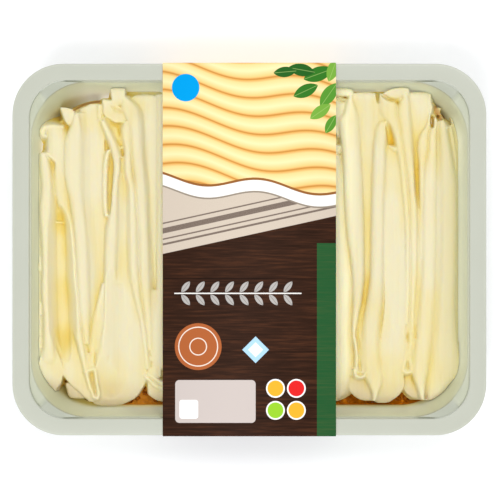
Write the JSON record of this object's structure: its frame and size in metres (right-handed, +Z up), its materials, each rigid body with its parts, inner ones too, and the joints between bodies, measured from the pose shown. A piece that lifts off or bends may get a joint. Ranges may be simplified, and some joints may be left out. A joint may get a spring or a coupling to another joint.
{
  "type": "shepherds pie ready meal",
  "caption": "Ready meal of mince topped with long piped folds of mash, in a flanged plastic tray with a clear film lid and a card sleeve round the middle.",
  "frame": {"origin": "under the middle of the pack, on the plane that it stands on", "axes": "+X along the length of the tray, +Y across it along the piped ribbons, +Z up through the lid"},
  "size_m": [0.227, 0.179, 0.0393],
  "materials": {
    "tray_plastic": "pale grey-green moulded plastic, satin",
    "mince_gravy": "brown minced meat in glossy gravy",
    "mash_topping": "smooth cream mashed potato, soft and moist",
    "lid_film": "clear thin film, glossy",
    "sleeve_board": "coated card, printed in fields of colour"
  },
  "bodies": {
    "root": {"tray": "tray_plastic", "mince": "mince_gravy", "mash": "mash_topping", "film_lid": "lid_film", "sleeve": "sleeve_board"}
  },
  "joints": []
}
